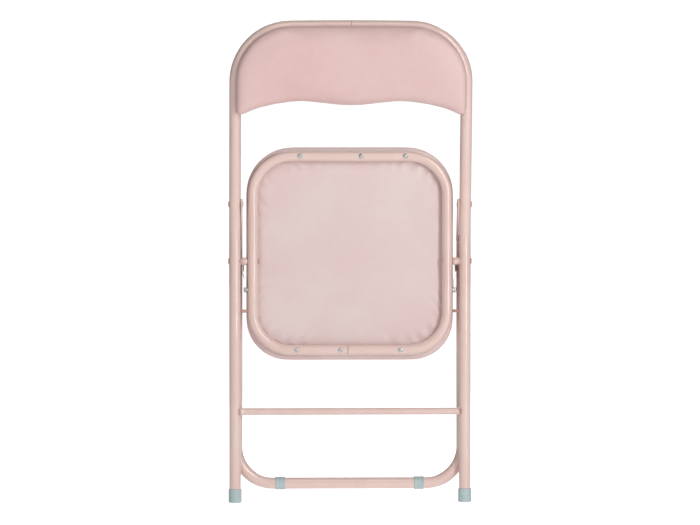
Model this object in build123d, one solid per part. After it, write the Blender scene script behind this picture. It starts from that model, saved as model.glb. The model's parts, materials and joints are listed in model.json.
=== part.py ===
"""A folding chair: a bent-tube frame, a rear leg loop, a padded seat on its own tube loop and two links.

Units are millimetres. The chair is stored and modelled folded flat, standing on its front feet.
+Z is up, +X is the right side seen from the front, and the front faces -Y. The lower front legs
are vertical at y = LEG_Y, and every side view point below is given as (y behind the leg axis, z).
"""
import os
from math import atan2, cos, degrees, radians, sin

from build123d import *

# --- place of the model -----------------------------------------------------------------------
LEG_Y = 20.43               # leg axis behind the origin, so the origin is centred under the chair

# --- back frame: an inverted U of tube that makes the front legs and the backrest frame -------
TUBE_D = 21.0               # outside diameter of the frame and rear leg tubes
WALL = 1.2                  # wall of every tube
LEG_X = 210.0               # leg axis from the middle of the chair
LEG_BOTTOM = 3.0            # end of the tube above the floor, inside its foot cap
BEND_Z = 494.0              # where the legs bend forward into the backrest frame
BEND_RADIUS = 200.0
LEAN = 9.0                  # degrees that the backrest frame leans forward of the legs
TOP_RUN = 377.0             # from the bend to the axis of the top bar, along the lean
TOP_CORNER_RADIUS = 100.0
TOP_BOW = 24.0              # how far the top bar's corner point stands behind the frame plane
TOP_BOW_RADIUS = 900.0
SLEEVE_HALF = 32.0          # half length of the inner sleeves that join tube ends
FRONT_BAR_Z = 166.6         # axis of the crossbar between the front legs
FRONT_BAR_D = 13.0
FRONT_BAR_FLARE = 18.0      # diameter of its welded ends
FRONT_BAR_FLARE_RUN = 7.0   # length of each flared end
WELD_BITE = 1.5             # how far a flared end runs in past the side of the leg
FOOT_D = 24.0
FOOT_H = 25.0
FOOT_EDGE = 2.0
RIM_CHAMFER = 0.6           # on the caps and the floor sleeves

# --- rear legs: a U of tube with flattened upper ends -----------------------------------------
REAR_X = 206.5
REAR_Y = 22.0               # axis of the folded rear legs behind the leg axis
REAR_BAR_Z = 33.9
REAR_CORNER_RADIUS = 66.0
REAR_ROUND_TOP = 464.0      # where the tube starts to flatten
REAR_FLAT_Z = 490.0         # where it is flat
LUG_X = 196.2               # inner face of the flattened ends
LUG_T = 3.0
LUG_R = 10.0
LUG_OVERLAP = 12.0          # how far the lug runs down into the narrowing tube
SLEEVE_X = 127.0            # floor sleeves on the rear bar
SLEEVE_W = 17.5
SLEEVE_D = 24.0

# --- seat loop and its padded seat ------------------------------------------------------------
SEAT_TUBE_D = 19.0
SEAT_X = 177.5              # tube axis from the middle
SEAT_Z = (278.5, 632.5)     # tube axis at the rear end and the front end of the seat
SEAT_CORNER_RADIUS = 70.5
SEAM_X = -4.0               # where the two ends of the seat tube meet
SEAM_GAP = 0.4
PAD_HALF_X = 189.5
PAD_Z = (259.6, 649.0)
PAD_CORNER_RADIUS = 85.0
PAD_FRONT_Y = 9.8           # underside of the seat behind the leg axis, just clear of the tube
PAD_BACK_Y = 45.0           # sitting surface, while the chair is folded
BOARD_T = 9.0
VINYL_T = 0.8
PAD_EDGE = 11.0             # radius round the edge of the sitting surface
FRONT_SCREW_X = (-92.0, 19.7, 100.5)
REAR_SCREW_X = (-97.6, -17.9, 92.0)

# --- backrest ---------------------------------------------------------------------------------
BACKREST_TOP = 379.0        # upper edge, along the lean from the bend
BACKREST_TIP = 218.0        # lower tips
BACKREST_CREST = (91.0, 241.0)
BACKREST_SHOULDER = (160.0, 232.0)
BACKREST_DIP = 233.5        # middle of the lower edge
BACKREST_SAG = 16.0         # depth of the backrest's curve from side to side
BACKREST_BACK = 11.6        # back of the cover before the frame plane, at the sides
BACKREST_T = 24.0
BACKREST_BOARD_T = 4.0
BACKREST_SCREWS = ((-150.0, 364.5), (150.0, 364.5), (-210.0, 262.0), (210.0, 262.0))

# --- pivots, as (y behind the leg axis, z) ----------------------------------------------------
REAR_PIVOT = (-8.1, 545.0)
SEAT_PIVOT = (0.0, 441.0)
LINK_SEAT_PIVOT = (0.0, 389.0)
LINK_REAR_PIVOT = (22.0, 436.74)
STOP_PIN = (0.0, 350.0)
PIVOT_R = 3.2               # shank of the four main rivets
LINK_PIVOT_R = 3.0          # shanks of the two rivets of each link
LINK_HEAD_R = 4.8
LINK_HEAD_T = 1.8
LINK_FLANGE = 0.2           # clearance beside a link on its seat rivet
RUNNING = 0.05              # radial play of a rivet in a hole that turns on it
GAP = 0.3                   # clearance between faces that move past each other
RIVET_HEAD_R = 5.2
RIVET_TAIL_R = 5.2
SCREW_R = 2.0
SCREW_PLAY = 0.1
SCREW_BITE = 6.0            # how far a seat screw goes into the seat board
SCREW_HEAD_R = 4.4
SCREW_HEAD_T = 2.6
CROSS_LENGTH = 4.6
CROSS_WIDTH = 1.0
CROSS_DEPTH = 1.4
BACK_SCREW_HEAD_R = 4.2
BACK_SCREW_HEAD_T = 2.4
BACK_SCREW_SEAT = 1.0       # middle of that head behind the tube's rear face
BACK_SCREW_BITE = 1.5       # how far a backrest screw goes into the backrest board
RIVET_HEAD_T = 1.8
LUG_TAIL_T = 1.0            # flat tail of the rivet inside the rear leg's lug
SPACER_R = 7.0
SPACER_ROUND = 4.5          # rounding of the spacer's rim beside the seat tube
LINK_T = 2.0
LINK_W = 12.0
LINK_OUTER_X = 193.3        # inner face of the link at the rear leg
LINK_INNER_X = 190.3        # inner face of the link at the seat tube
STOP_R = 2.85
STOP_COLLAR_R = 4.0
STOP_END_X = 197.5
STOP_COLLAR_T = 1.8

SIDES = {"left": -1, "right": 1}
LEAN_UP = Vector(0, -sin(radians(LEAN)), cos(radians(LEAN)))
LEAN_FRONT = Vector(0, -cos(radians(LEAN)), -sin(radians(LEAN)))


def write(name, shape):
    """Write one sub-part, placed in the chair's frame."""
    export_step(Pos(0, LEG_Y, 0) * shape, f"parts/{name}.step")


def sweep_round(path, radius):
    """A round bar along a path."""
    return sweep(Plane(path @ 0, z_dir=path % 0) * Circle(radius), path=path)


def tube_along(path, diameter):
    """A round tube along a path."""
    return sweep_round(path, diameter / 2) - sweep_round(path, diameter / 2 - WALL)


def across(point, x_from, x_to, radius):
    """A round bar along X at a side view point, between two x values given from the middle out."""
    y, z = point
    middle = Pos((x_from + x_to) / 2, y, z)
    return middle * Rot(0, 90, 0) * Cylinder(radius, abs(x_to - x_from))


def slab(half_x, z_range, y_range, corner):
    """A plate with rounded corners, in the plane of the folded seat."""
    height = z_range[1] - z_range[0]
    outline = RectangleRounded(2 * half_x, height, corner)
    at = Plane((0, y_range[0], sum(z_range) / 2), x_dir=(1, 0, 0), z_dir=(0, -1, 0))
    return extrude(at * outline, -(y_range[1] - y_range[0]))


def dome(point, x_face, side, radius, height):
    """A low rounded rivet head that stands on x_face and points away from it along side."""
    head = across(point, x_face, x_face + side * height, radius)
    rims = head.edges().filter_by(GeomType.CIRCLE).sort_by(Axis.X)
    return fillet(rims[-1] if side > 0 else rims[0], 0.8 * height)


# --- back frame -------------------------------------------------------------------------------
def back_frame_path():
    """Axis of the inverted U: up one leg, across the bowed top bar and down the other leg."""
    bend = Vector(0, 0, BEND_Z)
    corner = bend + LEAN_UP * TOP_RUN
    middle = corner - LEAN_FRONT * TOP_BOW
    half = [(LEG_X, 0, LEG_BOTTOM), (LEG_X, 0, BEND_Z), (LEG_X, corner.Y, corner.Z)]
    mirrored = [(-x, y, z) for x, y, z in half]
    points = mirrored + [(0, middle.Y, middle.Z)] + half[::-1]
    radii = [BEND_RADIUS, TOP_CORNER_RADIUS, TOP_BOW_RADIUS, TOP_CORNER_RADIUS, BEND_RADIUS]
    return FilletPolyline(*points, radius=radii)


def half_space(side):
    """A big block on one side of the chair's middle plane."""
    return Pos(side * 400, 0, 450) * Box(800, 800, 1000)


def back_frame():
    """The two halves of the frame tube, pierced by the rivets, and the sleeve that joins them."""
    path = back_frame_path()
    tube = tube_along(path, TUBE_D)
    holes = [across(SEAT_PIVOT, -LEG_X - 30, LEG_X + 30, PIVOT_R)]
    holes += [across(REAR_PIVOT, -LEG_X - 30, LEG_X + 30, PIVOT_R)]
    holes += [backrest_screw_hole(x, s) for x, s in BACKREST_SCREWS]
    for hole in holes:
        tube -= hole
    for name, side in SIDES.items():
        write(f"back_frame_tube_{name}", tube & half_space(side))
    sleeve = tube_along(path, TUBE_D - 2 * WALL)
    middle = back_frame_path() @ 0.5
    write("back_frame_joint_sleeve", sleeve & (Pos(0, middle.Y, middle.Z) * Box(2 * SLEEVE_HALF, 80, 80)))


def front_bar():
    """The crossbar between the front legs, with welded ends shaped to the leg tubes."""
    point = (0, FRONT_BAR_Z)
    bar = across(point, -LEG_X, LEG_X, FRONT_BAR_D / 2)
    cone = Cone(FRONT_BAR_FLARE / 2, FRONT_BAR_D / 2, FRONT_BAR_FLARE_RUN)
    cone_x = LEG_X - TUBE_D / 2 + WELD_BITE - FRONT_BAR_FLARE_RUN / 2
    for side in SIDES.values():
        bar += Pos(side * cone_x, 0, FRONT_BAR_Z) * Rot(0, -90 * side, 0) * cone
    for side in SIDES.values():
        bar -= Pos(side * LEG_X, 0, FRONT_BAR_Z) * Cylinder(TUBE_D / 2, 80)
    write("front_crossbar", bar.solids().sort_by(Axis.X)[len(bar.solids()) // 2])


def foot_caps():
    """The soft caps on the front legs."""
    for name, side in SIDES.items():
        cap = Cylinder(FOOT_D / 2, FOOT_H, align=(Align.CENTER, Align.CENTER, Align.MIN))
        cap = fillet(cap.edges().group_by(Axis.Z)[0], FOOT_EDGE)
        cap = chamfer(cap.edges().group_by(Axis.Z)[-1], RIM_CHAMFER)
        cap -= Pos(0, 0, LEG_BOTTOM) * Cylinder(
            TUBE_D / 2, FOOT_H, align=(Align.CENTER, Align.CENTER, Align.MIN))
        write(f"front_foot_cap_{name}", Pos(side * LEG_X, 0, 0) * cap)


# --- backrest ---------------------------------------------------------------------------------
def lean_plane(front=0.0):
    """The plane of the backrest frame, moved forward; its Y runs up the lean from the bend."""
    return Plane(Vector(0, 0, BEND_Z) + LEAN_FRONT * front, x_dir=(1, 0, 0), z_dir=LEAN_FRONT)


def backrest_outline(inset=0.0):
    """The backrest's outline: round upper corners and a lower edge that rises to two crests."""
    half = LEG_X - inset
    top = BACKREST_TOP - inset
    radius = TOP_CORNER_RADIUS - inset
    tip = (half - 8, BACKREST_TIP + inset)
    shoulder = (BACKREST_SHOULDER[0], BACKREST_SHOULDER[1] + inset)
    crest = (BACKREST_CREST[0], BACKREST_CREST[1] + inset)
    right = [tip, shoulder, crest]
    low = [(-x, s) for x, s in right] + [(0, BACKREST_DIP + inset)] + right[::-1]
    edge = Spline(*low)
    side_low = BACKREST_TIP + 6 + inset
    upper = FilletPolyline((half, side_low), (half, top), (-half, top), (-half, side_low), radius=radius)
    ends = [Line((half, side_low), tip), Line((-tip[0], tip[1]), (-half, side_low))]
    return make_face([edge, upper] + ends)


def backrest_layer(inset, back, front):
    """A curved layer of the backrest, between two distances before the frame plane at the sides."""
    radius = (LEG_X ** 2 + BACKREST_SAG ** 2) / (2 * BACKREST_SAG)
    reach = LEG_X + 30
    rise = radius - (radius ** 2 - reach ** 2) ** 0.5 - BACKREST_SAG

    def face_line(distance):
        """The plan curve of a face at this distance before the frame plane."""
        end = -distance - rise
        return ThreePointArc((-reach, end), (0, BACKREST_SAG - distance), (reach, end))

    inner, outer = face_line(back), face_line(front)
    ends = [Line(inner @ 0, outer @ 0), Line(inner @ 1, outer @ 1)]
    plan = Plane((0, 0, BEND_Z), x_dir=(1, 0, 0), z_dir=LEAN_UP)
    band = extrude(plan * make_face([inner, outer] + ends), BACKREST_TOP + 60)
    return band & extrude(lean_plane(-60) * backrest_outline(inset), 160)


def backrest_screw_plane(x, run):
    """Where a backrest screw's head meets the back of the frame tube; its normal points forward."""
    return lean_plane(-TUBE_D / 2 - bow_at(x)) * Pos(x * (1 - 6 / LEG_X), run, 0)


def backrest_screw(x, run):
    """A screw from behind the frame tube into the backrest board."""
    at = backrest_screw_plane(x, run)
    length = TUBE_D / 2 + BACKREST_BACK + VINYL_T + BACK_SCREW_BITE
    shank = at * Cylinder(SCREW_R, length, align=(Align.CENTER, Align.CENTER, Align.MIN))
    head = at * Pos(0, 0, -BACK_SCREW_SEAT) * Cylinder(BACK_SCREW_HEAD_R, BACK_SCREW_HEAD_T)
    return shank + head


def backrest_screw_hole(x, run):
    """The hole that a backrest screw passes through, with the seat of its head."""
    at = backrest_screw_plane(x, run)
    bore = at * Cylinder(SCREW_R + SCREW_PLAY, 60)
    seat_of_head = Cylinder(BACK_SCREW_HEAD_R + SCREW_PLAY, BACK_SCREW_HEAD_T + SCREW_PLAY)
    return bore + at * Pos(0, 0, -BACK_SCREW_SEAT) * seat_of_head


def bow_at(x):
    """How far the top bar stands behind the frame plane at this x."""
    return TOP_BOW * (1 - abs(x) / LEG_X)


def backrest():
    """Back sheet, board, foam and cover of the backrest, and the screws that hold it."""
    back = BACKREST_BACK
    front = BACKREST_BACK + BACKREST_T
    board_front = back + VINYL_T + BACKREST_BOARD_T
    outer = backrest_layer(0, back + VINYL_T, front)
    inner = backrest_layer(VINYL_T, back, front - VINYL_T)
    board = backrest_layer(VINYL_T, back + VINYL_T, board_front)
    foam = backrest_layer(VINYL_T, board_front, front - VINYL_T)
    sheet = backrest_layer(0, back, back + VINYL_T)
    screws = [backrest_screw(x, s) for x, s in BACKREST_SCREWS]
    cover = outer - inner
    board_band = backrest_layer(0, back, board_front)
    for x, run in BACKREST_SCREWS:
        hole = backrest_screw_plane(x, run) * Cylinder(SCREW_R + SCREW_PLAY, 2 * (BACKREST_T + TUBE_D))
        board -= hole
        sheet -= hole
        cover -= hole & board_band
    write("backrest_board", board)
    write("backrest_foam", foam)
    write("backrest_cover", cover)
    write("backrest_back_cover", sheet)
    write("backrest_screws", Part() + screws)


# --- rear legs --------------------------------------------------------------------------------
def rear_legs():
    """The rear leg loop with its flattened, pierced ends, and the two sleeves it stands on."""
    points = [(-REAR_X, REAR_Y, REAR_ROUND_TOP), (-REAR_X, REAR_Y, REAR_BAR_Z)]
    points += [(REAR_X, REAR_Y, REAR_BAR_Z), (REAR_X, REAR_Y, REAR_ROUND_TOP)]
    loop = tube_along(FilletPolyline(*points, radius=REAR_CORNER_RADIUS), TUBE_D)
    for side in SIDES.values():
        loop += rear_leg_end(side)
    loop -= across(REAR_PIVOT, -LEG_X, LEG_X, PIVOT_R + RUNNING)
    write("rear_leg_tube", loop)
    for name, side in SIDES.items():
        point = (REAR_Y, REAR_BAR_Z)
        start = side * SLEEVE_X - SLEEVE_W / 2
        sleeve = across(point, start, start + SLEEVE_W, SLEEVE_D / 2)
        sleeve = chamfer(sleeve.edges(), RIM_CHAMFER)
        sleeve -= across(point, start - 1, start + SLEEVE_W + 1, TUBE_D / 2)
        write(f"rear_floor_sleeve_{name}", sleeve)


def rear_leg_end(side):
    """One flattened end: the tube narrows to a flat lug that reaches forward to its pivot."""
    lug_x = side * (LUG_X + LUG_T / 2)
    round_end = Plane((side * REAR_X, REAR_Y, REAR_ROUND_TOP)) * Circle(TUBE_D / 2)
    flat_end = Plane((lug_x, REAR_Y, REAR_FLAT_Z)) * Ellipse(LUG_T / 2, TUBE_D / 2)
    neck = loft([round_end, flat_end])
    y, z = REAR_PIVOT
    low = Pos(REAR_Y, REAR_FLAT_Z - LUG_OVERLAP) * Rectangle(2 * LUG_R, 0.4)
    high = Pos(y, z) * Circle(LUG_R)
    lug = extrude(Plane.YZ * make_hull(low.edges() + high.edges()), LUG_T)
    plug = Pos(side * REAR_X, REAR_Y, REAR_ROUND_TOP - 1) * Cylinder(TUBE_D / 2 - WALL / 2, 2.0)
    return plug + neck + Pos(side * LUG_X - (0 if side > 0 else LUG_T), 0, 0) * lug


# --- seat -------------------------------------------------------------------------------------
def seat_screw(x, z):
    """One cross-headed screw through the seat tube into the seat board."""
    start = -SEAT_TUBE_D / 2
    length = SEAT_TUBE_D / 2 + PAD_FRONT_Y + VINYL_T + SCREW_BITE
    upward = (Align.CENTER, Align.CENTER, Align.MIN)
    at = Plane((x, start, z), x_dir=(1, 0, 0), z_dir=(0, -1, 0))
    shank = at * Pos(0, 0, -length) * Cylinder(SCREW_R, length, align=upward)
    head = at * Cylinder(SCREW_HEAD_R, SCREW_HEAD_T, align=upward)
    head = fillet(head.edges().group_by(Axis.Y)[0], 0.6 * SCREW_HEAD_T)
    slots = Box(CROSS_LENGTH, CROSS_WIDTH, SCREW_HEAD_T, align=upward)
    slots += Box(CROSS_WIDTH, CROSS_LENGTH, SCREW_HEAD_T, align=upward)
    return (shank + head) - at * Pos(0, 0, SCREW_HEAD_T - CROSS_DEPTH) * slots


def seat_screw_places():
    """Where the six screws stand on the front and rear runs of the seat tube."""
    places = [(x, SEAT_Z[1]) for x in FRONT_SCREW_X]
    return places + [(x, SEAT_Z[0]) for x in REAR_SCREW_X]


def seat_loop_path():
    """Axis of the seat tube, a rounded rectangle that starts and ends in its rear run."""
    low, high = SEAT_Z
    points = [(SEAM_X - SEAM_GAP / 2, 0, low), (-SEAT_X, 0, low), (-SEAT_X, 0, high)]
    points += [(SEAT_X, 0, high), (SEAT_X, 0, low), (SEAM_X + SEAM_GAP / 2, 0, low)]
    return FilletPolyline(*points, radius=SEAT_CORNER_RADIUS)


def seat_frame():
    """The seat tube with its holes, and the sleeve inside its joint."""
    tube = tube_along(seat_loop_path(), SEAT_TUBE_D)
    for x, z in seat_screw_places():
        tube -= Pos(x, 0, z) * Rot(90, 0, 0) * Cylinder(SCREW_R + SCREW_PLAY, 2 * SEAT_TUBE_D)
    for side in SIDES.values():
        inner = side * (SEAT_X - SEAT_TUBE_D)
        outer = side * (SEAT_X + SEAT_TUBE_D)
        middle = side * SEAT_X
        tube -= across(SEAT_PIVOT, inner, outer, PIVOT_R + RUNNING)
        tube -= across(LINK_SEAT_PIVOT, middle, outer, LINK_PIVOT_R)
        tube -= across(STOP_PIN, middle, outer, STOP_R)
    write("seat_frame_tube", tube)
    point = (0, SEAT_Z[0])
    bore = SEAT_TUBE_D / 2 - WALL
    sleeve = across(point, SEAM_X - SLEEVE_HALF, SEAM_X + SLEEVE_HALF, bore)
    sleeve -= across(point, SEAM_X - SLEEVE_HALF - 1, SEAM_X + SLEEVE_HALF + 1, bore - WALL)
    screw_hole = Rot(90, 0, 0) * Cylinder(SCREW_R + SCREW_PLAY, 2 * SEAT_TUBE_D)
    sleeve -= Pos(REAR_SCREW_X[1], 0, SEAT_Z[0]) * screw_hole
    write("seat_frame_joint_sleeve", sleeve)


def seat():
    """Underside sheet, board, foam and cover of the seat, and the screws that hold them."""
    screws = [seat_screw(x, z) for x, z in seat_screw_places()]
    sheet_back = PAD_FRONT_Y + VINYL_T
    board_back = sheet_back + BOARD_T
    half, corner = PAD_HALF_X - VINYL_T, PAD_CORNER_RADIUS - VINYL_T
    inner_z = (PAD_Z[0] + VINYL_T, PAD_Z[1] - VINYL_T)
    sheet = slab(PAD_HALF_X, PAD_Z, (PAD_FRONT_Y, sheet_back), PAD_CORNER_RADIUS)
    board = slab(half, inner_z, (sheet_back, board_back), corner)
    foam = slab(half, inner_z, (board_back, PAD_BACK_Y - VINYL_T), corner)
    foam = fillet(foam.edges().group_by(Axis.Y)[-1], PAD_EDGE - VINYL_T)
    cover = slab(PAD_HALF_X, PAD_Z, (sheet_back, PAD_BACK_Y), PAD_CORNER_RADIUS)
    cover = fillet(cover.edges().group_by(Axis.Y)[-1], PAD_EDGE)
    cover = cover - foam - board
    for screw in screws:
        sheet -= screw
        board -= screw
    write("seat_underside_cover", sheet)
    write("seat_board", board)
    write("seat_foam", foam)
    write("seat_cover", cover)
    write("seat_screws", Part() + screws)


def stop_pins():
    """The pins on the seat tube that stop the links when the chair is open."""
    root = SEAT_X + SEAT_TUBE_D / 2 - WALL
    for name, side in SIDES.items():
        pin = across(STOP_PIN, side * root, side * STOP_END_X, STOP_R)
        pin += across(STOP_PIN, side * (STOP_END_X - STOP_COLLAR_T), side * STOP_END_X, STOP_COLLAR_R)
        write(f"stop_pin_{name}", pin)


# --- rivets, spacers and links ----------------------------------------------------------------
def main_rivets():
    """The rivets through the legs that carry the rear legs and the seat, with the seat spacers."""
    leg_outer = LEG_X + TUBE_D / 2
    seat_outer = SEAT_X + SEAT_TUBE_D / 2
    seat_inner = SEAT_X - SEAT_TUBE_D / 2
    for name, side in SIDES.items():
        rear_leg = ("rear_leg", REAR_PIVOT, LUG_X, LUG_TAIL_T)
        seat_pivot = ("seat_pivot", SEAT_PIVOT, seat_inner, RIVET_HEAD_T)
        for kind, point, end, tail_t in (rear_leg, seat_pivot):
            shank = across(point, side * (end - GAP), side * leg_outer, PIVOT_R)
            head = dome(point, side * leg_outer, side, RIVET_HEAD_R, RIVET_HEAD_T)
            tail = dome(point, side * (end - GAP), -side, RIVET_TAIL_R, tail_t)
            write(f"{kind}_rivet_{name}", shank + head + tail)
        spacer = across(SEAT_PIVOT, side * (seat_outer + GAP), side * LEG_X, SPACER_R)
        rims = spacer.edges().filter_by(GeomType.CIRCLE).sort_by(Axis.X)
        spacer = fillet(rims[0] if side > 0 else rims[-1], SPACER_ROUND)
        spacer -= across(SEAT_PIVOT, side * seat_outer, side * LEG_X, PIVOT_R)
        spacer -= Pos(side * LEG_X, 0, SEAT_PIVOT[1]) * Cylinder(TUBE_D / 2, 60)
        write(f"seat_pivot_spacer_{name}", spacer)


def link_plate(side):
    """A flat link with a joggle: it stands further out at the rear leg than at the seat tube."""
    (y0, z0), (y1, z1) = LINK_SEAT_PIVOT, LINK_REAR_PIVOT
    length = ((y1 - y0) ** 2 + (z1 - z0) ** 2) ** 0.5
    turn = degrees(atan2(z1 - z0, y1 - y0))
    blank = Pos(length / 2, 0) * SlotCenterToCenter(length, LINK_W)
    near, far = LINK_INNER_X, LINK_OUTER_X
    step = (0.42 * length, 0.62 * length)
    inner = [(-LINK_W, near), (step[0], near), (step[1], far), (length + LINK_W, far)]
    outer = [(s, x + LINK_T) for s, x in inner[::-1]]
    profile = Polygon(*inner, *outer, align=None)
    # The profile lies in (run, x); the blank in (run, width). Both are turned to share the run.
    body = extrude(Plane.XZ * profile, LINK_W, both=True) & extrude(blank, 400)
    body -= Cylinder(LINK_PIVOT_R + RUNNING, 500)
    body -= Pos(length, 0, 0) * Cylinder(LINK_PIVOT_R, 500)
    at = Plane((0, y0, z0), x_dir=(0, cos(radians(turn)), sin(radians(turn))), z_dir=(1, 0, 0))
    plate = at * body
    return plate if side > 0 else mirror(plate, about=Plane.YZ)


def links():
    """Each link, the rivet that it turns on and the rivet at its far end."""
    seat_outer = SEAT_X + SEAT_TUBE_D / 2
    near = LINK_INNER_X
    far = LINK_OUTER_X
    for name, side in SIDES.items():
        write(f"link_plate_{name}", link_plate(side))
        head_face = side * (near + LINK_T + LINK_FLANGE)
        shank = across(LINK_SEAT_PIVOT, side * (seat_outer - WALL), head_face, LINK_PIVOT_R)
        shoulder = across(LINK_SEAT_PIVOT, side * seat_outer, side * (near - LINK_FLANGE), LINK_HEAD_R)
        head = dome(LINK_SEAT_PIVOT, head_face, side, LINK_HEAD_R, LINK_HEAD_T)
        write(f"link_seat_rivet_{name}", shank + shoulder + head)
        end = REAR_X - TUBE_D / 2 - GAP
        tail = across(LINK_REAR_PIVOT, side * far, side * end, LINK_PIVOT_R)
        knob = dome(LINK_REAR_PIVOT, side * far, -side, LINK_HEAD_R, LINK_HEAD_T)
        write(f"link_rear_rivet_{name}", tail + knob)


def build_all():
    """Write every sub-part of the chair."""
    os.makedirs("parts", exist_ok=True)
    back_frame()
    front_bar()
    foot_caps()
    backrest()
    rear_legs()
    seat_frame()
    seat()
    stop_pins()
    main_rivets()
    links()


build_all()
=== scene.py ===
import json
import logging
import math
from dataclasses import dataclass, field
from enum import Enum
from functools import lru_cache
from typing import Callable, Iterable, Sequence

import bmesh
import bpy
import numpy as np
from mathutils import Matrix, Vector, noise
from mathutils.bvhtree import BVHTree


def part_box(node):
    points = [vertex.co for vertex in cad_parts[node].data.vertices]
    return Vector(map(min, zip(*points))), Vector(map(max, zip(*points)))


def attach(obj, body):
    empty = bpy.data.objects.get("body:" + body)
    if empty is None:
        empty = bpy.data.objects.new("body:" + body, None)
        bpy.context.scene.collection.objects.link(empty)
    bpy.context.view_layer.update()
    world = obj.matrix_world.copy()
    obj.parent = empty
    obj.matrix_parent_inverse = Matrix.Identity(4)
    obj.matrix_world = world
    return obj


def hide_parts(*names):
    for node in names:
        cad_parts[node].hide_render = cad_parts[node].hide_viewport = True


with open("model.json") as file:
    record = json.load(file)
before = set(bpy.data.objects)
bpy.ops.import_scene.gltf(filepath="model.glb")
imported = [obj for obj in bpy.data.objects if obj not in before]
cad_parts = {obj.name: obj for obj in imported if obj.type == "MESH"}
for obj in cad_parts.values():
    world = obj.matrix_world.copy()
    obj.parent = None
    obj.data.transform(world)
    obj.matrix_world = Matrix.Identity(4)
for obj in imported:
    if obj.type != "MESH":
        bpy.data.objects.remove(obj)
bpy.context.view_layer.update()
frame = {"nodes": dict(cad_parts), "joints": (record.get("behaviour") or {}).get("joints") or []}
LOG = logging.getLogger("folding_chair")

MM = 0.001
LEG_Y = next(j["pos_m"][1] for j in frame["joints"] if j["name"] == "seat_fold")
SIDES = {"left": -1, "right": 1}
Colour = tuple[float, float, float]


class Vinyl(Enum):
    """The places where the vinyl differs a little."""

    SEAT = "seat"
    BACKREST = "backrest"
    WELT = "welt"


def srgb(code: str) -> tuple[float, float, float, float]:
    """Turn a colour code into linear light.

    Args:
        code: Six hexadecimal digits, two for each of red, green and blue.

    Returns:
        The linear colour with full alpha.
    """
    parts = [int(code[i:i + 2], 16) / 255 for i in (0, 2, 4)]
    linear = [p / 12.92 if p <= 0.04045 else ((p + 0.055) / 1.055) ** 2.4 for p in parts]
    return (*linear, 1.0)


# --- shader node groups -----------------------------------------------------------------------
class NodeSheet:
    """A node tree with short calls to add and join nodes."""

    def __init__(self, tree: bpy.types.NodeTree) -> None:
        """Keep the tree that the nodes go into."""
        self.tree = tree

    @property
    def given(self) -> bpy.types.bpy_prop_collection:
        """Give the sockets of a group's inputs."""
        return self.tree.nodes["in"].outputs

    @property
    def out(self) -> bpy.types.bpy_prop_collection:
        """Give the sockets of a group's outputs."""
        return self.tree.nodes["out"].inputs

    def place(self) -> bpy.types.NodeSocket:
        """Add the place on the piece, which every pattern is laid out in."""
        return self.add("ShaderNodeTexCoord").outputs["Object"]

    def add(self, kind: str, **inputs: object) -> bpy.types.Node:
        """Add a node and set its inputs.

        Args:
            kind: The node's type name.
            **inputs: Values or output sockets for its inputs, by name with _ for a space.

        Returns:
            The new node.
        """
        node = self.tree.nodes.new(kind)
        for name, value in inputs.items():
            self.plug(node.inputs[name.replace("_", " ")], value)
        return node

    def plug(self, socket: bpy.types.NodeSocket, value: object) -> None:
        """Set an input to a value, or link it to an output."""
        if isinstance(value, bpy.types.NodeSocket):
            self.tree.links.new(value, socket)
        else:
            socket.default_value = value

    def group(self, tree: bpy.types.NodeTree, **inputs: object) -> bpy.types.Node:
        """Place a shared group with a finish's own values."""
        node = self.tree.nodes.new("ShaderNodeGroup")
        node.node_tree = tree
        for name, value in inputs.items():
            self.plug(node.inputs[name], value)
        return node

    def math(self, operation: str, *numbers: object) -> bpy.types.NodeSocket:
        """Work out one operation on up to three numbers and give its output."""
        node = self.tree.nodes.new("ShaderNodeMath")
        node.operation = operation
        for socket, value in zip(node.inputs, numbers):
            self.plug(socket, value)
        return node.outputs[0]

    def mix(self, factor: object, a: object, b: object) -> bpy.types.NodeSocket:
        """Mix two colours by a factor and give the result."""
        node = self.tree.nodes.new("ShaderNodeMix")
        node.data_type = "RGBA"
        for socket, value in ((node.inputs[0], factor), (node.inputs[6], a), (node.inputs[7], b)):
            self.plug(socket, value)
        return node.outputs[2]

    def spread(self, value: object, low: float, high: float) -> bpy.types.NodeSocket:
        """Map a range of values to 0 to 1 and clamp it."""
        node = self.add("ShaderNodeMapRange", Value=value)
        node.inputs["From Min"].default_value = low
        node.inputs["From Max"].default_value = high
        return node.outputs["Result"]


def new_group(name: str, inputs: dict[str, object], outputs: Sequence[str]) -> NodeSheet:
    """Start a shader node group.

    Args:
        name: The group's name.
        inputs: The default of each named input, a number or a colour.
        outputs: The names of its outputs; one with Colour in it is a colour.

    Returns:
        The group's sheet, with group_in and group_out nodes named "in" and "out".
    """
    tree = bpy.data.node_groups.new(name, "ShaderNodeTree")
    for label, value in inputs.items():
        kind = "NodeSocketColor" if isinstance(value, tuple) else "NodeSocketFloat"
        socket = tree.interface.new_socket(name=label, in_out="INPUT", socket_type=kind)
        socket.default_value = value
    for label in outputs:
        kind = "NodeSocketColor" if "Colour" in label else "NodeSocketFloat"
        tree.interface.new_socket(name=label, in_out="OUTPUT", socket_type=kind)
    tree.nodes.new("NodeGroupInput").name = "in"
    tree.nodes.new("NodeGroupOutput").name = "out"
    return NodeSheet(tree)


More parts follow.
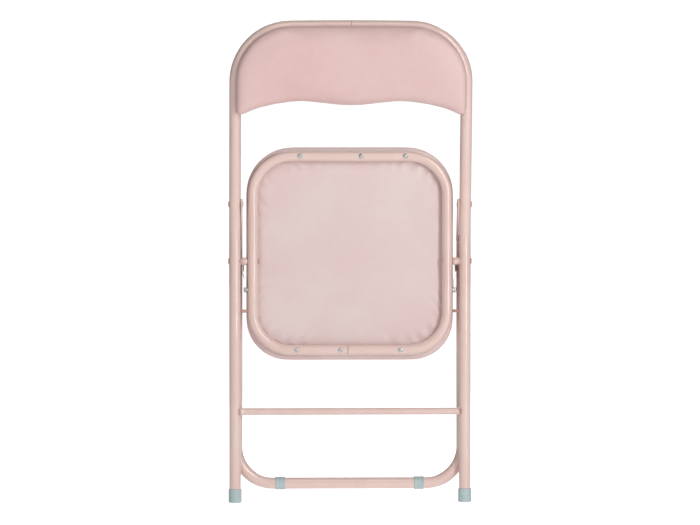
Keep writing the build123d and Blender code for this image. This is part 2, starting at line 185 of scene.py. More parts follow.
@lru_cache(maxsize=None)
def colour_drift() -> bpy.types.NodeTree:
    """Build the group that lets a colour wander softly over a piece, in broad and small patches.

    Returns:
        A group that mixes Base towards Shade, with inputs for the size and strength of the patches.
    """
    inputs = {"Base": (1.0, 1.0, 1.0, 1.0), "Shade": (0.5, 0.5, 0.5, 1.0), "Size": 0.1, "Strength": 0.5}
    sheet = new_group("colour_drift", inputs, ["Colour", "Mask"])
    given = sheet.given
    place = sheet.place()
    scale = sheet.math("DIVIDE", 1.0, given["Size"])
    broad = sheet.add("ShaderNodeTexNoise", Vector=place, Scale=scale, Detail=2.0, Roughness=0.5)
    fine_scale = sheet.math("MULTIPLY", scale, 6.3)
    small = sheet.add("ShaderNodeTexNoise", Vector=place, Scale=fine_scale, Detail=3.0, Roughness=0.6)
    fine = sheet.math("MULTIPLY", small.outputs[0], 0.3)
    total = sheet.math("MULTIPLY_ADD", broad.outputs[0], 0.7, fine)
    patch = sheet.spread(total, 0.38, 0.62)
    mask = sheet.math("MULTIPLY", patch, given["Strength"])
    sheet.plug(sheet.out["Colour"], sheet.mix(mask, given["Base"], given["Shade"]))
    sheet.plug(sheet.out["Mask"], mask)
    return sheet.tree


@lru_cache(maxsize=None)
def pebble_grain() -> bpy.types.NodeTree:
    """Build the group for an embossed grain: small rounded pebbles with fine valleys between them.

    Returns:
        A group with the pebbles' Size as input, and their Height and a Valley mask as outputs.
    """
    sheet = new_group("pebble_grain", {"Size": 0.0012, "Stretch": 0.4}, ["Height", "Valley"])
    given = sheet.given
    place = sheet.place()
    scale = sheet.math("DIVIDE", 1.0, given["Size"])
    slow = sheet.math("MULTIPLY", scale, 0.35)
    warp = sheet.add("ShaderNodeTexNoise", Vector=place, Scale=slow, Detail=2.0)
    shift = sheet.tree.nodes.new("ShaderNodeVectorMath")
    shift.operation = "MULTIPLY_ADD"
    sheet.plug(shift.inputs[0], warp.outputs["Color"])
    reach = sheet.add("ShaderNodeCombineXYZ")
    for axis in ("X", "Y", "Z"):
        sheet.plug(reach.inputs[axis], sheet.math("MULTIPLY", given["Size"], given["Stretch"]))
    sheet.plug(shift.inputs[1], reach.outputs[0])
    sheet.plug(shift.inputs[2], place)
    cells = sheet.add("ShaderNodeTexVoronoi", Vector=shift.outputs[0], Scale=scale)
    cells.feature = "DISTANCE_TO_EDGE"
    bump = sheet.spread(cells.outputs["Distance"], 0.0, 0.32)
    tooth_scale = sheet.math("MULTIPLY", scale, 2.6)
    tooth = sheet.add("ShaderNodeTexNoise", Vector=place, Scale=tooth_scale, Detail=3.0)
    height = sheet.math("MULTIPLY_ADD", tooth.outputs[0], 0.35, bump)
    sheet.plug(sheet.out["Height"], height)
    sheet.plug(sheet.out["Valley"], sheet.math("SUBTRACT", 1.0, bump))
    return sheet.tree


@lru_cache(maxsize=None)
def coat_ripple() -> bpy.types.NodeTree:
    """Build the group for sprayed paint: a slow orange peel with a few specks of dust under it.

    Returns:
        A group with the ripple's Size as input, and its Height and a Speck mask as outputs.
    """
    sheet = new_group("coat_ripple", {"Size": 0.003, "Specks": 0.5}, ["Height", "Speck"])
    given = sheet.given
    place = sheet.place()
    scale = sheet.math("DIVIDE", 1.0, given["Size"])
    slow = sheet.add("ShaderNodeTexNoise", Vector=place, Scale=scale, Detail=2.0, Roughness=0.45)
    dots = sheet.add("ShaderNodeTexVoronoi", Vector=place, Scale=sheet.math("MULTIPLY", scale, 0.3))
    near = sheet.spread(dots.outputs["Distance"], 0.07, 0.02)
    speck = sheet.math("MULTIPLY", near, given["Specks"])
    height = sheet.math("MULTIPLY_ADD", speck, 0.5, slow.outputs[0])
    sheet.plug(sheet.out["Height"], height)
    sheet.plug(sheet.out["Speck"], speck)
    return sheet.tree


@lru_cache(maxsize=None)
def handling_marks() -> bpy.types.NodeTree:
    """Build the group for light scuffs: short hair scratches and cloudy rubbed patches.

    Returns:
        A group with Size and Amount inputs, and Scratch and Rub masks as outputs.
    """
    sheet = new_group("handling_marks", {"Size": 0.02, "Amount": 0.3}, ["Scratch", "Rub"])
    given = sheet.given
    place = sheet.place()
    scale = sheet.math("DIVIDE", 1.0, given["Size"])
    turned = sheet.add("ShaderNodeMapping", Vector=place)
    turned.inputs["Rotation"].default_value = (0.5, 0.9, 0.3)
    turned.inputs["Scale"].default_value = (1.0, 24.0, 6.0)
    hair = sheet.add("ShaderNodeTexNoise", Vector=turned.outputs[0], Scale=scale, Detail=3.0)
    cloud = sheet.add("ShaderNodeTexNoise", Vector=place, Scale=scale, Detail=4.0, Roughness=0.65)
    scratch = sheet.spread(hair.outputs[0], 0.66, 0.72)
    rub = sheet.spread(cloud.outputs[0], 0.48, 0.72)
    worn = sheet.math("MULTIPLY", scratch, rub)
    sheet.plug(sheet.out["Scratch"], sheet.math("MULTIPLY", worn, given["Amount"]))
    sheet.plug(sheet.out["Rub"], sheet.math("MULTIPLY", rub, given["Amount"]))
    return sheet.tree


# --- finishes ---------------------------------------------------------------------------------
@dataclass(frozen=True)
class Finish:
    """A surface finish: its colours, its gloss and the size of its texture."""

    name: str
    colour: str
    shade: str
    roughness: float = 0.4
    specular: float = 0.5
    metallic: float = 0.0
    patch: float = 0.12
    drift: float = 0.5
    texture: float = 0.003
    relief: float = 0.05 * MM
    marks: float = 0.2

    def height(self, sheet: NodeSheet) -> tuple[bpy.types.NodeSocket, bpy.types.NodeSocket]:
        """Give the texture's height and its mask; sprayed ripple unless a finish says otherwise."""
        ripple = sheet.group(coat_ripple(), Size=self.texture, Specks=0.5)
        return ripple.outputs["Height"], ripple.outputs["Speck"]

    def finish_shader(self, shader: bpy.types.Node) -> None:
        """Set what only this finish has on the shader."""

    def material(self) -> bpy.types.Material:
        """Build the material once.

        Returns:
            The material, with all its texture from nodes.
        """
        known = bpy.data.materials.get(self.name)
        if known:
            return known
        made = bpy.data.materials.new(self.name)
        made.use_nodes = True
        made.diffuse_color = srgb(self.colour)
        sheet = NodeSheet(made.node_tree)
        shader = made.node_tree.nodes["Principled BSDF"]
        drift = sheet.group(colour_drift(), Base=srgb(self.colour), Shade=srgb(self.shade),
                            Size=self.patch, Strength=self.drift)
        marks = sheet.group(handling_marks(), Amount=self.marks)
        height, mask = self.height(sheet)
        worn = sheet.mix(marks.outputs["Scratch"], drift.outputs["Colour"], srgb(self.shade))
        # Mix towards the shade colour under the texture's mask: real dust specks under sprayed paint, and
        # painted shade in the valleys of a grain.
        dust_and_valley_shade = sheet.mix(sheet.math("MULTIPLY", mask, 0.35), worn, srgb(self.shade))
        sheet.plug(shader.inputs["Base Color"], dust_and_valley_shade)
        rough = sheet.math("MULTIPLY_ADD", marks.outputs["Rub"], 0.25, self.roughness)
        sheet.plug(shader.inputs["Roughness"], rough)
        shader.inputs["Metallic"].default_value = self.metallic
        shader.inputs["Specular IOR Level"].default_value = self.specular
        bump = sheet.add("ShaderNodeBump", Height=height)
        bump.inputs["Strength"].default_value = 1.0
        bump.inputs["Distance"].default_value = self.relief
        sheet.plug(shader.inputs["Normal"], bump.outputs[0])
        self.finish_shader(shader)
        return made


@dataclass(frozen=True)
class PaintFinish(Finish):
    """Sprayed, stoved paint with a clear gloss over it."""

    gloss: float = 0.35

    def finish_shader(self, shader: bpy.types.Node) -> None:
        """Put a thin clear coat over the colour."""
        shader.inputs["Coat Weight"].default_value = self.gloss
        shader.inputs["Coat Roughness"].default_value = 0.05


@dataclass(frozen=True)
class VinylFinish(Finish):
    """Soft vinyl with a fine pebble grain."""

    def height(self, sheet: NodeSheet) -> tuple[bpy.types.NodeSocket, bpy.types.NodeSocket]:
        """Give the height of the embossed pebbles and the mask of their valleys, which the material darkens
        as painted shade.
        """
        grain = sheet.group(pebble_grain(), Size=self.texture)
        return grain.outputs["Height"], grain.outputs["Valley"]

    def finish_shader(self, shader: bpy.types.Node) -> None:
        """Add the soft bloom of plasticised vinyl."""
        shader.inputs["Sheen Weight"].default_value = 0.25
        shader.inputs["Sheen Roughness"].default_value = 0.4
        shader.inputs["Subsurface Weight"].default_value = 0.04
        shader.inputs["Subsurface Radius"].default_value = (0.004, 0.002, 0.0015)


@dataclass(frozen=True)
class FlexFinish(Finish):
    """Soft moulded plastic with a spark-eroded grain."""

    def height(self, sheet: NodeSheet) -> tuple[bpy.types.NodeSocket, bpy.types.NodeSocket]:
        """Give a fine, shallow mould grain, and the mask of its valleys, which the material darkens as
        painted shade.
        """
        grain = sheet.group(pebble_grain(), Size=self.texture, Stretch=0.8)
        return grain.outputs["Height"], grain.outputs["Valley"]


PAINT = PaintFinish("blush_paint", "E8CDC4", "E2C1B8", roughness=0.3, specular=0.5, patch=0.16, drift=0.6,
                    texture=0.005, relief=0.02 * MM, gloss=0.9)
RIVET_PAINT = PaintFinish("blush_rivet_paint", "D2ACA2", "BF958C", roughness=0.4, drift=0.7)
WELD_PAINT = PaintFinish("blush_weld_paint", "E0C0B6", "D3AEA4", roughness=0.42, texture=0.0012)
ZINC = Finish("zinc_plate", "E6E6E4", "B4B5B8", roughness=0.24, metallic=1.0, patch=0.01, marks=0.5)
STEEL = Finish("plain_steel", "8A8A8C", "6E6A66", roughness=0.45, metallic=1.0, patch=0.03)
FOOT = FlexFinish("foot_plastic", "BBCBCC", "A9BDBF", roughness=0.5, patch=0.02, texture=0.0009,
                  relief=0.03 * MM)
BOARD = Finish("board_ply", "C9A878", "A88455", roughness=0.7, patch=0.04, texture=0.002)
FOAM = FlexFinish("open_foam", "EFE6CC", "E0D2AE", roughness=0.9, texture=0.002, relief=0.3 * MM)
VINYLS = {
    Vinyl.SEAT: VinylFinish("vinyl_seat", "E4D2CF", "E0C6C4", roughness=0.42, specular=0.4, patch=0.13,
                            drift=0.75, texture=0.0013, relief=0.06 * MM, marks=0.1),
    Vinyl.BACKREST: VinylFinish("vinyl_backrest", "E4C6C2", "DFB9B6", roughness=0.4, specular=0.4,
                                patch=0.1, drift=0.8, texture=0.0013, relief=0.06 * MM, marks=0.1),
    Vinyl.WELT: VinylFinish("vinyl_welt", "DDB4B2", "CF9F9D", roughness=0.45, texture=0.0008,
                            relief=0.04 * MM, marks=0.1),
}


# --- shape tools ------------------------------------------------------------------------------
def dress(piece: bpy.types.Object, finish: Finish) -> bpy.types.Object:
    """Give a piece one finish on all its faces."""
    piece.data.materials.clear()
    piece.data.materials.append(finish.material())
    return piece


def mesh_piece(name: str, mesh: bpy.types.Mesh) -> bpy.types.Object:
    """Put a mesh into the scene under a name."""
    mesh.name = name
    piece = bpy.data.objects.new(name, mesh)
    bpy.context.scene.collection.objects.link(piece)
    return piece


def settled(piece: bpy.types.Object) -> bpy.types.Mesh:
    """Give the plain mesh that a piece's modifiers make."""
    view = bpy.context.evaluated_depsgraph_get()
    return bpy.data.meshes.new_from_object(piece.evaluated_get(view), depsgraph=view)


def settle(piece: bpy.types.Object) -> bpy.types.Object:
    """Turn a piece into the plain mesh that its modifiers make, and drop them."""
    mesh = settled(piece)
    piece.modifiers.clear()
    piece.data = mesh
    mesh.name = piece.name
    return piece


def rounded_path(points: Sequence[Vector], radii: Sequence[float], turn: float = 4.0,
                 pitch: float = 0.012) -> list[Vector]:
    """Round the corners of a path and give points along it.

    Args:
        points: The path's corner points, ends included.
        radii: One radius for each inner point.
        turn: The most degrees of arc from one point to the next.
        pitch: The longest straight step.

    Returns:
        Points along the straight runs and arcs.
    """
    made = [points[0]]
    for before, corner, after, radius in zip(points, points[1:], points[2:], radii):
        back = (before - corner).normalized()
        ahead = (after - corner).normalized()
        half = back.angle(ahead) / 2
        centre = corner + (back + ahead).normalized() * (radius / math.sin(half))
        start = corner + back * (radius / math.tan(half)) - centre
        end = corner + ahead * (radius / math.tan(half)) - centre
        sweep = start.angle(end)
        count = max(2, math.ceil(math.degrees(sweep) / turn))
        axis = start.cross(end).normalized()
        made += [centre + Matrix.Rotation(sweep * k / count, 3, axis) @ start for k in range(count + 1)]
    made.append(points[-1])
    full = [made[0]]
    for a, b in zip(made, made[1:]):
        steps = max(1, math.ceil((b - a).length / pitch))
        full += [a.lerp(b, k / steps) for k in range(1, steps + 1)]
    return full


def new_shape_tree(name: str, inputs: dict[str, str], output: str) -> tuple[NodeSheet, object]:
    """Start a Geometry Nodes tree.

    Args:
        name: The tree's name.
        inputs: The kind of each named input.
        output: The name of its one output, a geometry.

    Returns:
        The tree's sheet, and the sockets of its inputs.
    """
    tree = bpy.data.node_groups.new(name, "GeometryNodeTree")
    for label, kind in inputs.items():
        tree.interface.new_socket(name=label, in_out="INPUT", socket_type=f"NodeSocket{kind}")
    tree.interface.new_socket(name=output, in_out="OUTPUT", socket_type="NodeSocketGeometry")
    return NodeSheet(tree), tree.nodes.new("NodeGroupInput").outputs


def coat_shape(sheet: NodeSheet, shape: bpy.types.NodeSocket,
               finish: bpy.types.NodeSocket) -> bpy.types.NodeTree:
    """End a Geometry Nodes tree: make its copies real, give them their finish and put them out."""
    real = sheet.add("GeometryNodeRealizeInstances", Geometry=shape)
    coated = sheet.add("GeometryNodeSetMaterial", Geometry=real.outputs[0], Material=finish)
    sheet.plug(sheet.tree.nodes.new("NodeGroupOutput").inputs[0], coated.outputs[0])
    return sheet.tree


@lru_cache(maxsize=None)
def swept_tree() -> bpy.types.NodeTree:
    """Build the Geometry Nodes tree that sweeps a round bar along a line of points.

    Returns:
        A tree with Radius, Sides and Finish inputs; the points' width attribute scales the radius.
    """
    inputs = {"Path": "Geometry", "Radius": "Float", "Sides": "Int", "Finish": "Material"}
    sheet, given = new_shape_tree("swept_bar", inputs, "Bar")
    curve = sheet.add("GeometryNodeMeshToCurve", Mesh=given["Path"])
    ring = sheet.add("GeometryNodeCurvePrimitiveCircle", Resolution=given["Sides"], Radius=given["Radius"])
    width = sheet.add("GeometryNodeInputNamedAttribute", Name="width")
    bar = sheet.add("GeometryNodeCurveToMesh", Curve=curve.outputs[0], Scale=width.outputs["Attribute"],
                    Fill_Caps=True)
    sheet.plug(bar.inputs["Profile Curve"], ring.outputs[0])
    return coat_shape(sheet, bar.outputs[0], given["Finish"])


def set_inputs(modifier: bpy.types.Modifier, **values: object) -> None:
    """Set a Geometry Nodes modifier's inputs by their names, through the sockets' identifiers."""
    for item in modifier.node_group.interface.items_tree:
        if item.in_out == "INPUT" and item.name.replace(" ", "_") in values:
            modifier[item.identifier] = values[item.name.replace(" ", "_")]


def swept_bar(name: str, path: Sequence[Vector], radius: float, finish: Finish, sides: int = 32,
              widths: Sequence[float] | None = None, closed: bool = False) -> bpy.types.Object:
    """Sweep a round bar along points.

    Args:
        name: The piece's name.
        path: The points of its axis.
        radius: The bar's radius where a point's width is 1.
        finish: What it is finished in.
        sides: Points round its section.
        widths: The width at each point, as a share of the radius; 1 everywhere if left out.
        closed: Whether the last point joins the first.

    Returns:
        The finished piece, smooth shaded, with faces outwards.
    """
    mesh = bpy.data.meshes.new(name)
    edges = [(i, i + 1) for i in range(len(path) - 1)]
    if closed:
        edges.append((len(path) - 1, 0))
    mesh.from_pydata([tuple(p) for p in path], edges, [])
    layer = mesh.attributes.new("width", "FLOAT", "POINT")
    layer.data.foreach_set("value", list(widths or [1.0] * len(path)))
    piece = mesh_piece(name, mesh)
    sweep = piece.modifiers.new("sweep", "NODES")
    sweep.node_group = swept_tree()
    set_inputs(sweep, Radius=radius, Sides=sides, Finish=finish.material())
    settle(piece)
    tidy_normals(piece)
    return piece


def tidy_normals(piece: bpy.types.Object, angle: float = 40.0) -> bpy.types.Object:
    """Merge doubles, point the faces outwards and shade smooth, with sharp edges past an angle."""
    bm = bmesh.new()
    bm.from_mesh(piece.data)
    bmesh.ops.remove_doubles(bm, verts=bm.verts, dist=0.002 * MM)
    bmesh.ops.dissolve_degenerate(bm, edges=bm.edges, dist=0.001 * MM)
    bmesh.ops.recalc_face_normals(bm, faces=bm.faces)
    bm.to_mesh(piece.data)
    bm.free()
    piece.data.shade_smooth()
    piece.data.set_sharp_from_angle(angle=math.radians(angle))
    return piece


def lathe(name: str, profile: Sequence[tuple[float, float]], axis: Vector, origin: Vector,
          segments: int = 48) -> bpy.types.Object:
    """Turn a profile about an axis.

    Args:
        name: The piece's name.
        profile: Points as (radius, distance along the axis); a closed loop or one that ends on the axis.
        axis: The direction of the axis.
        origin: Where the distance is 0.
        segments: Steps round the axis.

    Returns:
        The turned piece.
    """
    turn = Vector((0, 0, 1)).rotation_difference(axis.normalized()).to_matrix()
    bm = bmesh.new()
    rings = []
    for radius, run in profile:
        if radius < 1e-7:
            rings.append([bm.verts.new(origin + turn @ Vector((0, 0, run)))])
            continue
        angles = [2 * math.pi * k / segments for k in range(segments)]
        points = [Vector((radius * math.cos(a), radius * math.sin(a), run)) for a in angles]
        rings.append([bm.verts.new(origin + turn @ p) for p in points])
    pairs = list(zip(rings, rings[1:]))
    if len(rings[0]) > 1 and len(rings[-1]) > 1:
        pairs.append((rings[-1], rings[0]))
    for low, high in pairs:
        for k in range(segments):
            ahead = k + 1
            ring = [low[k % len(low)], low[ahead % len(low)], high[ahead % len(high)], high[k % len(high)]]
            corners = list(dict.fromkeys(ring))
            if len(corners) > 2:
                bm.faces.new(corners)
    mesh = bpy.data.meshes.new(name)
    bm.to_mesh(mesh)
    bm.free()
    return tidy_normals(mesh_piece(name, mesh))


def arc_profile(centre: tuple[float, float], radius: float, start: float, end: float,
                steps: int = 5) -> list[tuple[float, float]]:
    """Give the points of an arc in a lathe profile, with angles in degrees from the radius axis."""
    angles = [math.radians(start + (end - start) * k / steps) for k in range(steps + 1)]
    return [(centre[0] + radius * math.cos(a), centre[1] + radius * math.sin(a)) for a in angles]


@lru_cache(maxsize=None)
def placed_tree() -> bpy.types.NodeTree:
    """Build the Geometry Nodes tree that sets a copy of one piece on each point.

    Returns:
        A tree with Copy, Size and Finish inputs; each point's facing attribute turns its copy.
    """
    inputs = {"Places": "Geometry", "Copy": "Object", "Size": "Float", "Finish": "Material"}
    sheet, given = new_shape_tree("placed_copies", inputs, "Copies")
    source = sheet.add("GeometryNodeObjectInfo", Object=given["Copy"])
    facing = sheet.tree.nodes.new("GeometryNodeInputNamedAttribute")
    facing.data_type = "FLOAT_VECTOR"
    facing.inputs["Name"].default_value = "facing"
    turn = sheet.tree.nodes.new("FunctionNodeAlignRotationToVector")
    turn.axis = "Z"
    sheet.plug(turn.inputs["Vector"], facing.outputs["Attribute"])
    copies = sheet.add("GeometryNodeInstanceOnPoints", Points=given["Places"],
                       Instance=source.outputs["Geometry"], Rotation=turn.outputs[0])
    size = sheet.add("ShaderNodeCombineXYZ", X=given["Size"], Y=given["Size"], Z=given["Size"])
    sheet.plug(copies.inputs["Scale"], size.outputs[0])
    return coat_shape(sheet, copies.outputs[0], given["Finish"])


def placed_copies(name: str, source: bpy.types.Object, places: Iterable[tuple[Vector, Vector]],
                  finish: Finish, angle: float = 35.0) -> bpy.types.Object:
    """Set copies of a piece at places and make one mesh of them.

    Args:
        name: The new piece's name.
        source: The piece to copy, made at the origin facing +Z; it is removed afterwards.
        places: A position and a facing direction for each copy.
        finish: What the copies are finished in.
        angle: The angle past which an edge stays sharp.

    Returns:
        The copies as one piece.
    """
    spots = list(places)
    mesh = bpy.data.meshes.new(name)
    mesh.from_pydata([tuple(p) for p, _ in spots], [], [])
    layer = mesh.attributes.new("facing", "FLOAT_VECTOR", "POINT")
    layer.data.foreach_set("vector", [c for _, facing in spots for c in facing])
    piece = mesh_piece(name, mesh)
    copies = piece.modifiers.new("copies", "NODES")
    copies.node_group = placed_tree()
    set_inputs(copies, Copy=source, Size=1.0, Finish=finish.material())
    settle(piece)
    bpy.data.objects.remove(source)
    piece.data.shade_smooth()
    piece.data.set_sharp_from_angle(angle=math.radians(angle))
    return piece


def smooth_copy(node: str, finish: Finish, body: str, slot: str, angle: float = 32.0) -> bpy.types.Object:
    """Make a merged, smooth shaded copy of a CAD node and let it stand for the node.

    Args:
        node: The CAD node's name.
        finish: The copy's finish.
        body: The body that it rides on.
        slot: The record's material slot; not used.
        angle: The angle past which an edge stays sharp.

    Returns:
        The copy.
    """
    piece = mesh_piece(f"{node}_finished", frame["nodes"][node].data.copy())
    dress(tidy_normals(piece, angle), finish)
    return stand_for(piece, body, slot, node)


def stand_for(piece: bpy.types.Object, body: str, slot: str, *nodes: str) -> bpy.types.Object:
    """Let a piece ride on a body, and replace the CAD nodes that it stands for."""
    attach(piece, body)
    if nodes:
        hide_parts(*nodes)
    LOG.info("%s rides on %s: %d faces", piece.name, body, len(piece.data.polygons))
    return piece


# --- soft pads --------------------------------------------------------------------------------
@dataclass
class Pad:
    """A padded piece: a board with foam over it under tight vinyl.

    A pad is shaped in its own flat plan, where u runs across, v runs up and d is depth from the
    back of the board to the soft face, and place() turns a plan point into the chair's frame.
    """

    name: str
    outline: list[tuple[float, float]]
    back: float
    thickness: float
    edge: float
    vinyl: Vinyl
    place: Callable[[float, float, float], Vector]
    voxel: float = 5.0 * MM
    side_share: float = 0.42
    crown: float = 3.0 * MM
    crown_reach: float = 110.0 * MM
    swell: float = 5.0 * MM
    pressure: float = 4.0
    steps: int = 20
    plan: np.ndarray = field(default_factory=lambda: np.zeros((0, 3)))

    def edge_distance(self, points: np.ndarray) -> np.ndarray:
        """Measure how far plan points are from the outline.

        Args:
            points: An array of (u, v) rows.

        Returns:
            The distance of each, in metres.
        """
        line = np.array(self.outline)
        nearest = np.full(len(points), 1e9)
        for a, b in zip(line, np.roll(line, -1, axis=0)):
            run = b - a
            share = np.clip(((points - a) @ run) / (run @ run), 0, 1)
            nearest = np.minimum(nearest, np.linalg.norm(points - a - share[:, None] * run, axis=1))
        return nearest

    def blank(self) -> bpy.types.Mesh:
        """Make the outline's flat block and divide it evenly.

        Returns:
            A closed mesh of small squares, in the plan.
        """
        bm = bmesh.new()
        ring = [bm.verts.new((u, v, self.back)) for u, v in self.outline]
        bottom = bm.faces.new(ring)
        top = bmesh.ops.extrude_face_region(bm, geom=[bottom])["geom"]
        lift = [g for g in top if isinstance(g, bmesh.types.BMVert)]
        bmesh.ops.translate(bm, verts=lift, vec=(0, 0, self.thickness))
        bmesh.ops.recalc_face_normals(bm, faces=bm.faces)
        mesh = bpy.data.meshes.new(self.name)
        bm.to_mesh(mesh)
        bm.free()
        piece = mesh_piece(self.name + "_blank", mesh)
        remesh = piece.modifiers.new("even", "REMESH")
        remesh.mode = "VOXEL"
        remesh.voxel_size = self.voxel
        even = settled(piece)
        bpy.data.objects.remove(piece)
        return even

    def shape(self) -> bpy.types.Object:
        """Round the block's edge, crown its face and put it in place.

        Returns:
            The pad before it is blown up, as a piece.
        """
        mesh = self.blank()
        flat = np.zeros(len(mesh.vertices) * 3)
        mesh.vertices.foreach_get("co", flat)
        flat = flat.reshape(-1, 3)
        reach = self.edge_distance(flat[:, :2])
        depth = np.clip((flat[:, 2] - self.back) / self.thickness, 0, 1)
        corner = 1 - np.clip(reach / self.edge, 0, 1)
        rounding = self.side_share + (1 - self.side_share) * np.sqrt(np.clip(1 - corner ** 2, 0, 1))
        rise = np.sin(np.clip(reach / self.crown_reach, 0, 1) * math.pi / 2)
        full = (self.thickness - self.swell * 0.5 - self.crown) * rounding + self.crown * rise
        flat[:, 2] = self.back + depth * full
        self.plan = flat
        moved = [self.place(*row) for row in flat]
        mesh.vertices.foreach_set("co", [c for p in moved for c in p])
        piece = mesh_piece(self.name, mesh)
        piece.data.shade_smooth()
        return piece

    def firmness(self) -> np.ndarray:
        """Say how firmly each point is held: the board's back and the stapled edge don't move."""
        depth = (self.plan[:, 2] - self.back) / self.thickness
        return np.clip(1.15 - depth * 3.0, 0, 1)

    def inflate(self, piece: bpy.types.Object) -> None:
        """Blow the cover up over the foam with a cloth simulation and keep the result."""
        start = [v.co.copy() for v in piece.data.vertices]
        held = piece.vertex_groups.new(name="held")
        for index, weight in enumerate(self.firmness()):
            held.add([index], float(weight), "REPLACE")
        cloth = piece.modifiers.new("cover", "CLOTH")
        cloth.settings.quality = 5
        cloth.settings.use_pressure = True
        cloth.settings.uniform_pressure_force = self.pressure
        cloth.settings.tension_stiffness = 25.0
        cloth.settings.compression_stiffness = 25.0
        cloth.settings.bending_stiffness = 1.0
        cloth.settings.effector_weights.gravity = 0.0
        cloth.settings.vertex_group_mass = "held"
        cloth.point_cache.frame_start = 1
        cloth.point_cache.frame_end = self.steps
        for step in range(1, self.steps + 1):
            bpy.context.scene.frame_set(step)
        puffed = settled(piece)
        for vertex, before, after in zip(piece.data.vertices, start, puffed.vertices):
            move = after.co - before
            vertex.co = before + move * (self.swell / max(move.length, self.swell))
        piece.modifiers.clear()
        piece.vertex_groups.clear()
        bpy.data.meshes.remove(puffed)
        bpy.context.scene.frame_set(1)

    def smooth(self, piece: bpy.types.Object, rounds: int) -> None:
        """Ease the mesh so that no voxel steps are left."""
        bm = bmesh.new()
        bm.from_mesh(piece.data)
        for _ in range(rounds):
            bmesh.ops.smooth_vert(bm, verts=bm.verts, factor=0.5, use_axis_x=True, use_axis_y=True,
                                  use_axis_z=True)
        bm.to_mesh(piece.data)
        bm.free()

    def divide(self, piece: bpy.types.Object) -> None:
        """Divide the mesh once, smoothly."""
        finer = piece.modifiers.new("finer", "SUBSURF")
        finer.levels = 1
        finer.render_levels = 1
        settle(piece)
        piece.data.shade_smooth()

    def crease(self, piece: bpy.types.Object) -> None:
        """Add the folds of this pad's cover; a plain pad has none."""

    def make(self) -> bpy.types.Object:
        """Make the whole pad.

        Returns:
            The finished cover as one closed piece.
        """
        piece = self.shape()
        self.smooth(piece, 3)
        self.inflate(piece)
        self.smooth(piece, 2)
        self.divide(piece)
        self.crease(piece)
        dress(piece, VINYLS[self.vinyl])
        return piece

    def welt(self, piece: bpy.types.Object, depth: float, radius: float) -> bpy.types.Object:
        """Run a welded bead round the pad where its two sheets meet.

        Args:
            piece: The finished pad.
            depth: The bead's depth from the back of the board.
            radius: The bead's radius.

        Returns:
            The bead.
        """
        tree = BVHTree.FromObject(piece, bpy.context.evaluated_depsgraph_get())
        line = [Vector(p) for p in self.outline]
        middle = sum(line, Vector((0, 0))) / len(line)
        path = []
        for point in line:
            out = point + (point - middle).normalized() * 3 * MM
            spot, normal, _, _ = tree.find_nearest(self.place(out[0], out[1], self.back + depth))
            path.append(spot + normal * radius * 0.15)
        return swept_bar(f"{self.name}_welt", path, radius, VINYLS[Vinyl.WELT], 10, closed=True)


@dataclass
class SeatPadShape(Pad):
    """The seat's pad, whose stapled underside puckers beside the seat tube."""

    loop: float = 168.0 * MM
    loop_z: tuple[float, float] = (288.0 * MM, 623.0 * MM)
    loop_corner: float = 61.0 * MM
    puff: float = 3.2 * MM
    puff_run: float = 9.0 * MM
    fold_line: float = 7.0 * MM
    fold_spread: float = 11.0 * MM
    wave_height: float = 1.0 * MM
    fold_height: float = 1.3 * MM
    folds: float = 52.0

    def inside_loop(self, u: float, v: float) -> float:
        """Measure how far a plan point is inside the seat tube's inner edge; negative is outside."""
        middle = sum(self.loop_z) / 2
        half = (self.loop_z[1] - self.loop_z[0]) / 2
        across = abs(u) - self.loop + self.loop_corner
        along = abs(v - middle) - half + self.loop_corner
        beyond = math.hypot(max(across, 0), max(along, 0)) + min(max(across, along), 0)
        return self.loop_corner - beyond

    def crease(self, piece: bpy.types.Object) -> None:
        """Puff the underside out inside the tube, with small folds along its edge and corners."""
        underside = LEG_Y + self.back + 0.6 * MM
        for vertex in piece.data.vertices:
            u, y, v = vertex.co
            if y > underside:
                continue
            inside = self.inside_loop(u, v)
            if inside <= 0:
                continue
            rise = 1 - math.exp(-inside / self.puff_run)
            angle = math.atan2(v - sum(self.loop_z) / 2, u)
            wave = noise.noise(Vector((u * 42, v * 42, 3.1)))
            fold = math.sin(angle * self.folds + 4.0 * noise.noise(Vector((u * 20, v * 20, 0.7))))
            corner = max(0.0, abs(math.sin(2 * angle)) - 0.45) / 0.55
            near = math.exp(-((inside - self.fold_line) / self.fold_spread) ** 2)
            slow = noise.noise(Vector((u * 9, v * 9, 8.4)))
            lift = self.puff * rise * (0.62 + 0.25 * slow)
            lift += near * (self.wave_height * wave + self.fold_height * fold * corner)
            vertex.co.y = y - max(0.0, lift)


def arc_points(centre: tuple[float, float], radius: float, start: float, end: float,
               steps: int) -> list[tuple[float, float]]:
    """Give points along an arc of a plan, with angles in degrees."""
    return [
        (centre[0] + radius * math.cos(math.radians(start + (end - start) * k / steps)),
         centre[1] + radius * math.sin(math.radians(start + (end - start) * k / steps)))
        for k in range(steps + 1)
    ]


